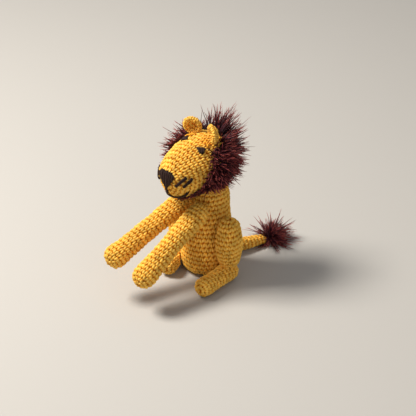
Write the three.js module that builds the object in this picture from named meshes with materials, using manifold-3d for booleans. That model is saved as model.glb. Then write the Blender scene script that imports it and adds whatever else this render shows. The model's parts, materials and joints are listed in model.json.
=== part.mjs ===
// A crocheted lion soft toy that sits on its seat and both feet, with its arms held out in front.
// Millimetres, +Z up. The lion faces -Y and its left side is +X. The origin is on the floor, under the body.
// Covers are hollow crocheted shells, each left open where it was stuffed; a seam of sewing yarn joins them.

import * as THREE from 'three';
import { mergeVertices } from 'three/addons/utils/BufferGeometryUtils.js';
import Module from 'manifold-3d';

const wasm = await Module();
wasm.setup();

// ---------------------------------------------------------------- driving dimensions

const GAP = 0.3; // between pieces that touch
const FABRIC = 2.2; // thickness of the crocheted fabric
const YARN = 0.55; // radius of the sewing yarn
const FINE_YARN = 0.4; // radius of the yarn in the small seams
const EMBROIDERY = 1.0; // how far a satin stitch stands off the cover
const WIDE = 200; // larger than the whole lion, for the solids that cut others

const BODY = { height: 65.2, seatY: -2.2, neckY: 2.6, opening: 6.5, sides: 20 };
const NECK = { seamRadius: 11.2, z: 66.0 };
const HEAD = { tip: [0, -41.4, 83.8], rise: 7.2, heart: [0, -20, 87.4], needle: 14, opening: 6, sides: 22 };
const MANE = { centre: [0, -2.4, 89.1], lean: 25, band: 11, fabric: 1.4, lowest: 66.9 };
const NECK_ROOM = { radius: 16.6, top: 76 }; // kept free of the mane
const EAR = { x: 10, y: -4.6, z: 111.8, turn: 28, lean: 8, radius: 6.7, cup: 8, sunk: 3, sides: 14 };
const EAR_ROOM = 9; // radius kept free of the mane round each ear
const SHOULDER = { x: 9.6, y: -20, z: 54.4, radius: 8.1, seam: 4.1, seamIn: 7.5 };
const ARM = { length: 58, paw: 8.6, opening: 3, sides: 12 };
const LEFT_ARM = { drop: 28.5, spread: 0.5 };
const RIGHT_ARM = { drop: 22.5, spread: 7 };
const HIP = { x: 23.9, y: -3.3, z: 32, inner: 19.2, front: -12 };
const HIP_SEAM = { x: 18.35, z: 33.5, radius: 4.8, yarn: 0.45 };
const THIGH = { radius: 10, above: 18.8, below: 24, ankle: 6.4, opening: 4, sides: 14 };
const FOOT = { radius: 7, cap: [5.4, 4.8], heel: [23.6, -3], length: 27, sides: 12 };
const LEFT_FOOT_TURN = 6;
const RIGHT_FOOT_TURN = -25;
const TAIL = { y: 22.9, z: 5.7, turn: 16, drop: 3.5, root: 5.2, tip: 3.7, length: 30, sides: 10 };
const TAIL_SEAM = { y: 17.6, radius: 2.9 };
const TUFT = { radius: 11.5, ahead: 5.5, knot: 2.2 };

const BODY_OUTLINE = [
  [11, 0], [15.2, 1.8], [17.8, 6], [18.7, 12], [18.5, 19], [17.5, 29], [16.2, 39], [15, 48], [14.3, 57],
  [12.7, BODY.height],
];
const HEAD_OUTLINE = [
  [0, 0], [7.4, 1.5], [11.4, 4.8], [14.7, 10], [17.2, 17], [18.9, 26.5], [19.2, 36], [17.5, 46], [12, 54],
  [HEAD.opening, 56.6],
];
const MANE_OUTLINE = [[0, -10.5], [21, -10], [29, -8], [33.5, 0], [33, 3.5], [30, 6.5], [21, 7.1], [0, 7.1]];

// ---------------------------------------------------------------- colours

const WOOL = { color: 0xf2b23c, roughness: 0.95 };
const FIBRE = { color: 0xf4f1e8, roughness: 1 };
const DARK_YARN = { color: 0x2c1512, roughness: 0.7 };
const FUR_YARN = { color: 0x43121c, roughness: 0.6 };

// ---------------------------------------------------------------- helpers

const degrees = THREE.MathUtils.degToRad;

/** A smooth run of points through an outline of [radius, height] pairs. */
function smooth(outline, steps) {
  const points = outline.map(([r, h]) => new THREE.Vector2(r, h));
  return new THREE.SplineCurve(points).getPoints(steps).map((p) => new THREE.Vector2(Math.max(p.x, 0), p.y));
}

/** The outline moved sideways by a distance: outwards if positive. A point on the axis stays on it. */
function offset(points, distance) {
  const end = points.length - 1;
  const way = Math.sign(points[end].y - points[0].y);
  return points.map((point, i) => {
    const along = points[Math.min(i + 1, end)].clone().sub(points[Math.max(i - 1, 0)]).normalize();
    if (point.x < 1e-6) return new THREE.Vector2(0, point.y + distance * way * (i === 0 ? -1 : 1));
    const step = distance * way;
    return new THREE.Vector2(Math.max(point.x + along.y * step, 0.05), point.y - along.x * step);
  });
}

/** Turns an outline about Z. The outline starts and ends on the axis. */
function turned(points, sides) {
  const geometry = new THREE.LatheGeometry(points, sides);
  geometry.rotateX(Math.PI / 2);
  return outward(geometry);
}

/** Merges a closed geometry's vertices and makes its faces point out. */
function outward(geometry) {
  geometry.deleteAttribute('normal');
  geometry.deleteAttribute('uv');
  const merged = mergeVertices(geometry, 1e-4);
  const place = merged.attributes.position;
  const corners = [];
  let volume = 0;
  for (let i = 0; i < merged.index.count; i += 3) {
    const ids = [0, 1, 2].map((k) => merged.index.getX(i + k));
    if (new Set(ids).size < 3) continue;
    const [a, b, c] = ids.map((id) => new THREE.Vector3().fromBufferAttribute(place, id));
    volume += a.dot(b.cross(c));
    corners.push(ids);
  }
  const faces = corners.flatMap(([a, b, c]) => (volume < 0 ? [a, c, b] : [a, b, c]));
  merged.setIndex(faces);
  return merged;
}

/** A solid turned from an outline whose ends are closed flat to the axis. */
function plug(points, sides) {
  const first = points[0];
  const last = points[points.length - 1];
  return turned([new THREE.Vector2(0, first.y), ...points, new THREE.Vector2(0, last.y)], sides);
}

/** A turned cover of the fabric's thickness, closed at the outline's start and open at its end. */
function cover(points, sides) {
  const inside = offset(points, -FABRIC);
  const start = points[0];
  const outside = start.x > 0 ? [new THREE.Vector2(0, start.y), ...points] : points;
  const back = inside.reverse();
  const end = back[back.length - 1];
  if (end.x > 0) back.push(new THREE.Vector2(0, start.y + FABRIC));
  return turned([...outside, ...back], sides);
}

/** The filling of a turned cover: its inside less the gap, rounded off at both ends. */
function filling(points, sides) {
  const inside = offset(points, -FABRIC - GAP);
  const start = points[0];
  const end = inside[inside.length - 1];
  const floor = start.x > 0 ? [new THREE.Vector2(0, start.y + FABRIC + GAP)] : [];
  return turned([...floor, ...inside, new THREE.Vector2(0, end.y)], sides);
}

/** A ring of yarn about Z. */
function ring(radius, yarn, sides = 12) {
  const section = [];
  for (let i = 0; i <= 5; i += 1) {
    const angle = (i / 5) * 2 * Math.PI;
    section.push(new THREE.Vector2(radius + yarn * Math.cos(angle), yarn * Math.sin(angle)));
  }
  return turned(section, sides);
}

/** A three.js geometry as a manifold solid. */
function solid(geometry) {
  const mesh = outward(geometry.clone());
  const vertProperties = new Float32Array(mesh.attributes.position.array);
  const triVerts = new Uint32Array(mesh.index.array);
  return new wasm.Manifold(new wasm.Mesh({ numProp: 3, vertProperties, triVerts }));
}

/** A manifold solid as a three.js geometry. */
function geometryOf(manifold) {
  const { numProp, vertProperties, triVerts } = manifold.getMesh();
  const places = new Float32Array((vertProperties.length / numProp) * 3);
  for (let i = 0; i < places.length / 3; i += 1) {
    for (let k = 0; k < 3; k += 1) places[3 * i + k] = vertProperties[numProp * i + k];
  }
  const geometry = new THREE.BufferGeometry();
  geometry.setAttribute('position', new THREE.BufferAttribute(places, 3));
  geometry.setIndex([...triVerts]);
  return geometry;
}

/** A solid that fills all the room under a height. */
function roomUnder(height) {
  return solid(new THREE.BoxGeometry(WIDE, WIDE, WIDE).translate(0, 0, height - WIDE / 2));
}

/** A copy of a geometry, placed by an object's own position and rotation. */
function placed(geometry, object) {
  object.updateMatrix();
  return geometry.clone().applyMatrix4(object.matrix);
}

/** An empty object at a place, turned by three angles in degrees, in X, Y, Z order. */
function frameAt([x, y, z], [rx, ry, rz] = [0, 0, 0], order = 'XYZ') {
  const frame = new THREE.Object3D();
  frame.position.set(x, y, z);
  frame.rotation.set(degrees(rx), degrees(ry), degrees(rz), order);
  return frame;
}

const lion = new THREE.Group();

/** Adds one named piece to the lion, or to a group in it. */
function add(name, geometry, finish, parent = lion) {
  const material = new THREE.MeshStandardMaterial({ ...finish, metalness: 0 });
  const mesh = new THREE.Mesh(geometry, material);
  mesh.name = name;
  parent.add(mesh);
  return mesh;
}

// ---------------------------------------------------------------- body

const lean = (BODY.neckY - BODY.seatY) / BODY.height;

/** Leans an upright body shape back, its seat staying flat on the floor. */
function leaned(geometry) {
  return geometry
    .applyMatrix4(new THREE.Matrix4().makeShear(0, 0, 0, 0, 0, lean))
    .translate(0, BODY.seatY, 0);
}

const bodyWall = smooth(BODY_OUTLINE, 11);
const bodyRim = new THREE.Vector2(BODY.opening, BODY.height);
const bodyOutline = [...bodyWall, bodyRim];

function makeBody() {
  const outer = [new THREE.Vector2(0, 0), ...bodyOutline];
  const inner = offset(bodyWall, -FABRIC).map((p) => new THREE.Vector2(p.x, Math.max(p.y, FABRIC)));
  const lid = BODY.height - FABRIC;
  const inside = inner.map((p) => new THREE.Vector2(p.x, Math.min(p.y, lid)));
  const shell = [...outer, new THREE.Vector2(BODY.opening, lid), ...inside.reverse()];
  shell.push(new THREE.Vector2(0, FABRIC));
  add('body_cover', leaned(turned(shell, BODY.sides)), WOOL);

  const fill = offset(bodyWall, -FABRIC - GAP);
  const low = FABRIC + GAP;
  const high = lid - GAP;
  const packed = fill.map((p) => new THREE.Vector2(p.x, THREE.MathUtils.clamp(p.y, low, high)));
  add('body_stuffing', leaned(plug(packed, BODY.sides)), FIBRE);

  const seam = add('neck_seam', ring(NECK.seamRadius, YARN, 18), WOOL);
  seam.position.set(0, BODY.neckY, NECK.z);
}

// ---------------------------------------------------------------- head

const headFrame = frameAt(HEAD.tip, [HEAD.rise - 90, 0, 0]);
const headOutline = smooth(HEAD_OUTLINE, 13);

/** The head's outer shape grown by a distance, closed at the back, in the lion's frame. */
function headGrown(distance) {
  const points = offset(headOutline, distance);
  const last = points[points.length - 1];
  const shape = turned([...points, new THREE.Vector2(0, last.y)], HEAD.sides);
  return solid(placed(shape, headFrame));
}

const headNear = headGrown(GAP);
const headStitched = headGrown(GAP + EMBROIDERY);

/** A line of [x, y] points as the outline of a ribbon of a width. */
function ribbon(points, width) {
  const end = points.length - 1;
  const sides = [width / 2, -width / 2].map((side) =>
    points.map((point, i) => {
      const along = points[Math.min(i + 1, end)].clone().sub(points[Math.max(i - 1, 0)]).normalize();
      return new THREE.Vector2(point.x - along.y * side, point.y + along.x * side);
    }),
  );
  return [...sides[0], ...sides[1].reverse()];
}

/**
 * An embroidered patch, which lies just on the head's cover. The points are its corners, near the cover,
 * or with a width the line that it follows. It is pushed straight through the cover, from the head's heart.
 */
function sewn(points, width = 0) {
  const corners = points.map((p) => new THREE.Vector3(...p));
  const centre = corners.reduce((sum, p) => sum.add(p), new THREE.Vector3()).divideScalar(corners.length);
  const out = centre.clone().sub(new THREE.Vector3(...HEAD.heart)).normalize();
  const across = new THREE.Vector3(0, 0, 1).cross(out).normalize();
  const up = out.clone().cross(across);
  const flat = corners.map((p) => p.sub(centre)).map((p) => new THREE.Vector2(p.dot(across), p.dot(up)));
  const shape = new THREE.Shape(width > 0 ? ribbon(flat, width) : flat);
  const depth = HEAD.needle;
  const prism = new THREE.ExtrudeGeometry(shape, { depth, bevelEnabled: false }).translate(0, 0, -depth / 2);
  prism.applyMatrix4(new THREE.Matrix4().makeBasis(across, up, out).setPosition(centre));
  return geometryOf(solid(prism).intersect(headStitched).subtract(headNear));
}

function makeHead() {
  const shell = add('head_cover', cover(headOutline, HEAD.sides), WOOL);
  const stuffing = add('head_stuffing', filling(headOutline, HEAD.sides), FIBRE);
  for (const mesh of [shell, stuffing]) {
    mesh.position.copy(headFrame.position);
    mesh.rotation.copy(headFrame.rotation);
  }
}

function makeFace() {
  const half = [[0, 93.2], [4, 93], [7.2, 89.6], [6.2, 86], [2.2, 81], [0.7, 79.4]];
  const nose = [...half, ...half.slice(1).reverse().map(([x, z]) => [-x, z])];
  add('nose', sewn(nose.map(([x, z]) => [x, -41, z])), DARK_YARN);
  add('nose_line', sewn([[0, -40.6, 79], [0, -39, 76.4]], 1.3), DARK_YARN);
  const smile = [[9.5, -33, 77], [5.4, -35.6, 73.8], [0, -37.4, 74.4], [-5.4, -35.6, 73.8], [-9.5, -33, 77]];
  add('mouth_line', sewn(smile, 1.4), DARK_YARN);
  for (const [side, sign] of [['left', 1], ['right', -1]]) {
    const mirrored = (points) => points.map(([x, y, z]) => [sign * x, y, z]);
    const upper = mirrored([[7.6, -39.7, 82], [11.4, -37.4, 86.2], [14.5, -34.5, 89.9]]);
    add(`${side}_whisker_upper`, sewn(upper, 1.3), DARK_YARN);
    const lower = mirrored([[11.9, -36.7, 81.5], [14.7, -33.8, 84.8], [16.7, -30.8, 88.5]]);
    add(`${side}_whisker_lower`, sewn(lower, 1.3), DARK_YARN);
    const eye = mirrored([[7.8, -18.4, 105.8], [11.2, -13.6, 104.7], [13.6, -18.4, 102]]);
    add(`${side}_eye`, sewn(eye), DARK_YARN);
  }
}

// ---------------------------------------------------------------- ears

function makeEar(side, sign) {
  const rim = Math.asin(EAR.radius / EAR.cup);
  const outer = [];
  const steps = 4;
  for (let i = 0; i <= steps; i += 1) {
    const angle = (rim * i) / steps;
    outer.push(new THREE.Vector2(EAR.cup * Math.sin(angle), EAR.cup * (1 - Math.cos(angle))));
  }
  const inner = outer.map((p, i) => {
    const angle = (rim * i) / steps;
    const depth = EAR.cup - FABRIC;
    return new THREE.Vector2(depth * Math.sin(angle), EAR.cup - depth * Math.cos(angle));
  });
  const bowl = turned([...outer, ...inner.reverse()], EAR.sides);
  const frame = frameAt([sign * EAR.x, EAR.y, EAR.z], [90 + EAR.lean, 0, sign * -EAR.turn], 'ZXY');
  const shape = solid(placed(bowl.translate(0, 0, -EAR.sunk), frame)).subtract(headGrown(GAP));
  add(`${side}_ear`, geometryOf(shape), WOOL);
  add(`${side}_ear_seam`, sewn([[sign * 5, -7.5, 107.5], [sign * 12, -9.5, 105.5]], 1.6), WOOL);
}

// ---------------------------------------------------------------- mane

function makeMane() {
  const frame = frameAt(MANE.centre, [90 - MANE.lean, 0, 0]);
  const slab = new THREE.CylinderGeometry(WIDE, WIDE, MANE.band, 16).rotateX(Math.PI / 2);
  const grown = headGrown(GAP + MANE.fabric);
  add('mane_band', geometryOf(solid(placed(slab, frame)).intersect(grown).subtract(headNear)), FUR_YARN);

  const outline = MANE_OUTLINE.map(([r, h]) => new THREE.Vector2(r, h));
  const wheel = solid(placed(turned(outline, 24), frame));
  const neck = new THREE.CylinderGeometry(NECK_ROOM.radius, NECK_ROOM.radius, WIDE, 20).rotateX(Math.PI / 2);
  neck.translate(0, BODY.neckY, NECK_ROOM.top - WIDE / 2);
  const ears = [1, -1].map((sign) =>
    solid(new THREE.SphereGeometry(EAR_ROOM, 12, 9).translate(sign * EAR.x, EAR.y, EAR.z)),
  );
  const hollows = [headGrown(2 * GAP + MANE.fabric), solid(neck), roomUnder(MANE.lowest), ...ears];
  const pile = hollows.reduce((fur, hollow) => fur.subtract(hollow), wheel);
  add('mane_pile', geometryOf(pile), FUR_YARN);
}

// ---------------------------------------------------------------- arms

const armOutline = (() => {
  const r = SHOULDER.radius;
  const l = ARM.length;
  const p = ARM.paw;
  const paw = [[0, l + p], [p * 0.72, l + p * 0.7], [p, l], [p * 0.93, l - 9]];
  const upper = [[r, l - 20], [r * 0.98, 25], [r, 5]];
  const shoulder = [[r * 0.97, 0], [r * 0.7, -r * 0.7], [ARM.opening, -r * 0.93]];
  return smooth([...paw, ...upper, ...shoulder], 14);
})();

function makeArm(side, sign, { drop, spread }) {
  const arm = new THREE.Group();
  arm.position.set(sign * SHOULDER.x, SHOULDER.y, SHOULDER.z);
  arm.rotation.set(degrees(90 + drop), 0, degrees(sign * spread), 'ZXY');
  add(`${side}_arm_cover`, cover(armOutline, ARM.sides), WOOL, arm);
  add(`${side}_arm_stuffing`, filling(armOutline, ARM.sides), FIBRE, arm);
  lion.add(arm);

  const axisY = BODY.seatY + lean * SHOULDER.z;
  const inward = new THREE.Vector3(-sign * SHOULDER.x, axisY - SHOULDER.y, 0).normalize();
  const seam = add(`${side}_shoulder_seam`, ring(SHOULDER.seam, FINE_YARN), WOOL);
  seam.position.set(sign * SHOULDER.x, SHOULDER.y, SHOULDER.z).addScaledVector(inward, SHOULDER.seamIn);
  seam.quaternion.setFromUnitVectors(new THREE.Vector3(0, 0, 1), inward);
}

// ---------------------------------------------------------------- legs

function makeLeg(side, sign, turn) {
  const { radius, below, above, ankle } = THIGH;
  const shin = [[0, -below], [ankle, -below * 0.78], [radius * 0.9, -below * 0.46]];
  const thighOutline = smooth([...shin, [radius, -1], [radius * 0.82, above * 0.66], [0, above]], 12);
  const { radius: sole, length, cap } = FOOT;
  const heelEnd = [[0, -sole], [cap[0], -cap[1]], [sole, 0]];
  const toeEnd = [[sole, length], [cap[0], length + cap[1]], [0, length + sole]];
  const footOutline = smooth([...heelEnd, [sole * 0.96, length / 2], ...toeEnd], 12);
  const thighFrame = frameAt([sign * HIP.x, HIP.y, HIP.z]);
  const [heelX, heelY] = FOOT.heel;
  const footFrame = frameAt([sign * heelX, heelY, sole], [90, 0, sign * turn], 'ZXY');

  /** The leg's shape less a distance all round, flat on its inner side. */
  const legShape = (distance) => {
    const thigh = solid(placed(turned(offset(thighOutline, -distance), THIGH.sides), thighFrame));
    const foot = solid(placed(turned(offset(footOutline, -distance), FOOT.sides), footFrame));
    const inner = HIP.inner + distance;
    const beside = new THREE.BoxGeometry(WIDE, WIDE, WIDE);
    beside.translate(sign * (inner - WIDE / 2), HIP.front + WIDE / 2, 0);
    const belly = new THREE.CylinderGeometry(inner, inner, WIDE, BODY.sides);
    belly.rotateX(Math.PI / 2).translate(0, BODY.seatY, 0);
    return thigh.add(foot).subtract(solid(beside)).subtract(solid(belly));
  };
  const mouth = new THREE.CylinderGeometry(THIGH.opening, THIGH.opening, 10, 14)
    .rotateZ(Math.PI / 2)
    .translate(sign * HIP.inner, HIP.y, HIP.z);
  const shell = legShape(0).subtract(legShape(FABRIC)).subtract(solid(mouth));
  add(`${side}_leg_cover`, geometryOf(shell), WOOL);
  add(`${side}_leg_stuffing`, geometryOf(legShape(FABRIC + GAP)), FIBRE);

  const seam = add(`${side}_hip_seam`, ring(HIP_SEAM.radius, HIP_SEAM.yarn), WOOL);
  seam.position.set(sign * HIP_SEAM.x, HIP.y, HIP_SEAM.z);
  seam.rotation.y = Math.PI / 2;
}

// ---------------------------------------------------------------- tail

function makeTail() {
  const tail = new THREE.Group();
  tail.position.set(0, TAIL.y, TAIL.z);
  tail.rotation.set(degrees(-90 - TAIL.drop), 0, degrees(-TAIL.turn), 'ZXY');
  lion.add(tail);
  const { root, tip, length } = TAIL;
  const end = [[0, length], [tip * 0.8, length - 0.8], [tip, length - 4]];
  const outline = smooth([...end, [root * 0.96, 14], [root, 3], [root * 0.88, -2.2], [2, -root * 0.92]], 10);
  add('tail_cover', cover(outline, TAIL.sides), WOOL, tail);

  const knot = add('tuft_knot', new THREE.SphereGeometry(TUFT.knot, 8, 6), FUR_YARN, tail);
  knot.position.z = length + TUFT.knot + GAP;
  tail.updateMatrixWorld(true);
  const centre = tail.localToWorld(new THREE.Vector3(0, 0, length + TUFT.ahead));
  const ball = new THREE.SphereGeometry(TUFT.radius, 14, 10).translate(centre.x, centre.y, centre.z);
  const held = turned(plugOutline(root + 1, tip + 1.2, length), 14).applyMatrix4(tail.matrixWorld);
  const core = new THREE.SphereGeometry(TUFT.knot + 2 * GAP, 8, 6).translate(0, 0, length + TUFT.knot + GAP);
  core.applyMatrix4(tail.matrixWorld);
  const pile = solid(ball).subtract(roomUnder(GAP)).subtract(solid(held)).subtract(solid(core));
  add('tail_tuft', geometryOf(pile), FUR_YARN);

  const seam = add('tail_seam', ring(TAIL_SEAM.radius, FINE_YARN), WOOL);
  seam.position.set(0, TAIL_SEAM.y, TAIL.z);
  seam.rotation.x = Math.PI / 2;
}

/** The outline of the room that the tail takes up in its tuft. */
function plugOutline(root, tip, length) {
  const past = length + 0.6;
  const outline = [[0, -root], [root, -root], [root, 0], [tip, length - 3], [tip, past], [0, past]];
  return outline.map(([r, h]) => new THREE.Vector2(r, h));
}

// ---------------------------------------------------------------- the whole lion

makeBody();
makeHead();
makeFace();
makeMane();
makeEar('left', 1);
makeEar('right', -1);
makeArm('left', 1, LEFT_ARM);
makeArm('right', -1, RIGHT_ARM);
makeLeg('left', 1, LEFT_FOOT_TURN);
makeLeg('right', -1, RIGHT_FOOT_TURN);
makeTail();

export default lion;
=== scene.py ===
"""A small crocheted lion soft toy: its rounds of single crochet, embroidered face, fur yarn and studio.

Sizes are in millimetres inside the classes and become metres when a mesh is made. The lion faces -Y and sits
on z = 0.
"""

import json
import logging
import math
from dataclasses import dataclass
from enum import Enum
from typing import Callable, Optional

import bpy
import numpy as np
from mathutils import Matrix

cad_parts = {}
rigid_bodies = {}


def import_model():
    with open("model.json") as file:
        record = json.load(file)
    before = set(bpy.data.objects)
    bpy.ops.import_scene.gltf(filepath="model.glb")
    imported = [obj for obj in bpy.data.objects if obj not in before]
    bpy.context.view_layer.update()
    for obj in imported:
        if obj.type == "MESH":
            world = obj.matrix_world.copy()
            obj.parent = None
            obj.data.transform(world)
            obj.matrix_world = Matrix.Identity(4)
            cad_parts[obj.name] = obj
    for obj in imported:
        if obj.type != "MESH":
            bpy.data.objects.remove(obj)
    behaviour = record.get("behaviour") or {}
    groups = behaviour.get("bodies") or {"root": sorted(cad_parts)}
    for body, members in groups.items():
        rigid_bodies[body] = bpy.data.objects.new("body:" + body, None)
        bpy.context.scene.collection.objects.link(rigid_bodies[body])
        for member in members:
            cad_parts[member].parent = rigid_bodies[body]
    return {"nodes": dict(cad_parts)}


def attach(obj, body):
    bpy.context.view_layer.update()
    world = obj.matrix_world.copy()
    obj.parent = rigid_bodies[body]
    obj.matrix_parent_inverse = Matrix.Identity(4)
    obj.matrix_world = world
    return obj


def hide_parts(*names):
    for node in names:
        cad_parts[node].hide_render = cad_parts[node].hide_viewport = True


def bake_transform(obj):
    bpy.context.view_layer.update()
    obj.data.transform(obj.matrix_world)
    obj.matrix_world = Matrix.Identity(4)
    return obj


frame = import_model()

log = logging.getLogger("lion")

MM = 0.001
MIDDLE_STOP = 0.6
Points = np.ndarray
Place = tuple[float, float, float]
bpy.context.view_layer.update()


class Side(Enum):
    """The lion's own left and right; the value is the sign of x."""

    LEFT = 1
    RIGHT = -1

    @property
    def word(self) -> str:
        """The side's name as it starts a piece's name."""
        return self.name.lower()


# ---------------------------------------------------------------- vectors


def unit(v: Points) -> Points:
    """Vectors along the last axis, each divided by its length."""
    return v / np.maximum(np.linalg.norm(v, axis=-1, keepdims=True), 1e-9)


def curve_through(points: Points, steps: int) -> Points:
    """A smooth run through control points.

    Each span between two points is the Catmull-Rom cubic: half of (2 p1 + (p2 - p0) t
    + (2 p0 - 5 p1 + 4 p2 - p3) t^2 + (3 p1 - p0 - 3 p2 + p3) t^3), with the end points used twice.

    Args:
        points: control points, one a row.
        steps: samples in each span.

    Returns:
        The sampled points, one a row.
    """
    p = np.concatenate([points[:1], points, points[-1:]])
    t = np.linspace(0, 1, steps, endpoint=False)[None, :, None]
    p0, p1, p2, p3 = (p[k : len(p) - 3 + k, None, :] for k in range(4))
    square, cube = 2 * p0 - 5 * p1 + 4 * p2 - p3, 3 * p1 - p0 - 3 * p2 + p3
    run = 0.5 * (2 * p1 + (p2 - p0) * t + square * t**2 + cube * t**3)
    return np.concatenate([run.reshape(-1, points.shape[1]), points[-1:]])


def along_path(points: Points, share: Points) -> Points:
    """Points at shares, 0 to 1, of the length of a smooth path through control points."""
    run = curve_through(np.asarray(points, float), 16)
    gone = np.concatenate([[0], np.cumsum(np.linalg.norm(np.diff(run, axis=0), axis=1))])
    return np.stack([np.interp(share * gone[-1], gone, run[:, k]) for k in range(3)], axis=-1)


# ---------------------------------------------------------------- mesh making


class Weave:
    """Collects tubes and skins of one piece as arrays, and makes them one mesh with thread coordinates.

    The UV map "thread" holds millimetres along the yarn and turns round it. The attribute "tone" is a random
    number for each stitch or strand. "depth" is 0 where yarn dips into the fabric and 1 where it stands out;
    the finishes paint shade at 0 and light at 1 by it.
    """

    def __init__(self) -> None:
        """An empty piece."""
        self.vertices: list[Points] = []
        self.tones: list[Points] = []
        self.depths: list[Points] = []
        self.corners: list[Points] = []
        self.sizes: list[Points] = []
        self.threads: list[Points] = []
        self.count = 0

    def _faces(self, index: Points, thread: Points) -> None:
        """Adds faces of one size: vertex numbers and thread coordinates, shaped (faces, corners[, 2])."""
        self.corners.append((index + self.count).reshape(-1))
        self.sizes.append(np.full(len(index), index.shape[1]))
        self.threads.append(thread.reshape(-1, 2))

    def _points(self, points: Points, tone: Points, depth: Points) -> None:
        """Adds vertices with their tone and depth, after the faces that use them."""
        self.vertices.append(points.reshape(-1, 3))
        self.tones.append(np.broadcast_to(tone, points.shape[:-1]).reshape(-1))
        self.depths.append(np.broadcast_to(depth, points.shape[:-1]).reshape(-1))
        self.count += points.size // 3

    def tubes(
        self, path: Points, lift: Points, wide: Points, high: Points, tone: Points, depth: Points,
        sides: int = 5,
    ) -> None:
        """Many yarn tubes with the same number of rings, each closed to a point at both ends.

        A ring point is path + across * wide * cos(a) + up * high * sin(a), where across = lift x tangent and
        up = tangent x across, so faces point outwards.

        Args:
            path: centre lines, shaped (tubes, rings + 2, 3); the first and last points are the closed ends.
            lift: the direction that the tube's height is measured in, shaped like path.
            wide: half the width at each ring, shaped (tubes, rings).
            high: half the height at each ring, shaped (tubes, rings).
            tone: one number for each tube.
            depth: how far each path point stands out, which the finishes turn into painted shade and light,
                shaped (tubes, rings + 2).
            sides: points round a ring.
        """
        tangent = unit(np.gradient(path, axis=1))
        across = unit(np.cross(lift, tangent))
        up = np.cross(tangent, across)
        turn = np.linspace(0, 2 * np.pi, sides, endpoint=False)
        ring = (
            path[:, 1:-1, None]
            + across[:, 1:-1, None] * (wide[:, :, None] * np.cos(turn))[..., None]
            + up[:, 1:-1, None] * (high[:, :, None] * np.sin(turn))[..., None]
        )
        tubes, rings = ring.shape[:2]
        steps = np.linalg.norm(np.diff(path, axis=1), axis=-1)
        run = np.concatenate([np.zeros((tubes, 1)), np.cumsum(steps, axis=1)], axis=1)
        block = rings * sides + 2
        start = (np.arange(tubes) * block)[:, None, None]
        i, j = np.meshgrid(np.arange(rings - 1), np.arange(sides), indexing="ij")
        k = (j + 1) % sides
        row, after = i * sides, (i + 1) * sides
        quad = np.stack([row + j, row + k, after + k, after + j], -1).reshape(1, -1, 4)
        ahead = np.stack([run[:, i + 1]] * 2 + [run[:, i + 2]] * 2, -1).reshape(tubes, -1, 4)
        round_it = np.stack([j, j + 1, j + 1, j], -1).reshape(1, -1, 4) / sides
        thread = np.stack([ahead, np.broadcast_to(round_it, ahead.shape)], -1)
        self._faces((start + quad).reshape(-1, 4), thread.reshape(-1, 4, 2))
        j = np.arange(sides)
        k = (j + 1) % sides
        poles = ((rings * sides, 0, (0, 2, 1)), (rings * sides + 1, (rings - 1) * sides, (0, 1, 2)))
        for pole, base, order in poles:
            fan = np.stack([np.full(sides, pole), base + j, base + k], -1)[None, :, order]
            at = run[:, [0, 1, 1]] if base == 0 else run[:, [-1, -2, -2]]
            around = (np.stack([j + 0.5, j, j + 1], -1) / sides)[None]
            uv = np.stack(np.broadcast_arrays(at[:, None, :], around), -1)[:, :, order]
            self._faces((start + fan).reshape(-1, 3), uv.reshape(-1, 3, 2))
        points = np.concatenate([ring.reshape(tubes, -1, 3), path[:, :1], path[:, -1:]], axis=1)
        between = np.repeat(depth[:, 1:-1], sides, axis=1)
        stands = np.concatenate([between, depth[:, :1], depth[:, -1:]], axis=1)
        self._points(points, np.asarray(tone, float)[:, None], stands)

    def skin(self, grid: Points, tone: float = 0.5, depth: float = 0.0) -> None:
        """A closed skin: rows of rings from one pole to the other, as (rows, columns, 3), faces outwards.

        The first and last rows are closed to their mean point.
        """
        rows, columns = grid.shape[:2]
        i, j = np.meshgrid(np.arange(rows - 1), np.arange(columns), indexing="ij")
        k = (j + 1) % columns
        row, after = i * columns, (i + 1) * columns
        quad = np.stack([row + j, row + k, after + k, after + j], -1).reshape(-1, 4)
        uv = np.stack([np.stack([i, i, i + 1, i + 1], -1), np.stack([j, j + 1, j + 1, j], -1) * 0.1], -1)
        self._faces(quad, uv.reshape(-1, 4, 2).astype(float))
        j = np.arange(columns)
        k = (j + 1) % columns
        poles = ((rows * columns, 0, (0, 2, 1)), (rows * columns + 1, (rows - 1) * columns, (0, 1, 2)))
        for pole, base, order in poles:
            fan = np.stack([np.full(columns, pole), base + j, base + k], -1)[:, order]
            self._faces(fan, np.zeros((columns, 3, 2)))
        ends = np.stack([grid[0].mean(0), grid[-1].mean(0)])
        self._points(np.concatenate([grid.reshape(-1, 3), ends]), np.array(tone), np.array(depth))

    def piece(self, name: str, finish: bpy.types.Material) -> bpy.types.Object:
        """The collected arrays as one smooth-shaded mesh object at the origin, in metres."""
        mesh = bpy.data.meshes.new(name)
        vertices = np.concatenate(self.vertices) * MM
        corners, sizes = np.concatenate(self.corners), np.concatenate(self.sizes)
        mesh.vertices.add(len(vertices))
        mesh.vertices.foreach_set("co", vertices.astype(np.float32).ravel())
        mesh.loops.add(len(corners))
        mesh.loops.foreach_set("vertex_index", corners.astype(np.int32))
        mesh.polygons.add(len(sizes))
        mesh.polygons.foreach_set("loop_start", np.concatenate([[0], np.cumsum(sizes)[:-1]]).astype(np.int32))
        mesh.polygons.foreach_set("use_smooth", np.ones(len(sizes), bool))
        mesh.update(calc_edges=True)
        thread = mesh.uv_layers.new(name="thread")
        thread.data.foreach_set("uv", np.concatenate(self.threads).astype(np.float32).ravel())
        for word, values in (("tone", self.tones), ("depth", self.depths)):
            layer = mesh.attributes.new(word, "FLOAT", "POINT")
            layer.data.foreach_set("value", np.concatenate(values).astype(np.float32))
        mesh.materials.append(finish)
        made = bpy.data.objects.new(name, mesh)
        bpy.context.scene.collection.objects.link(made)
        return made


# ---------------------------------------------------------------- finishes


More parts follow.
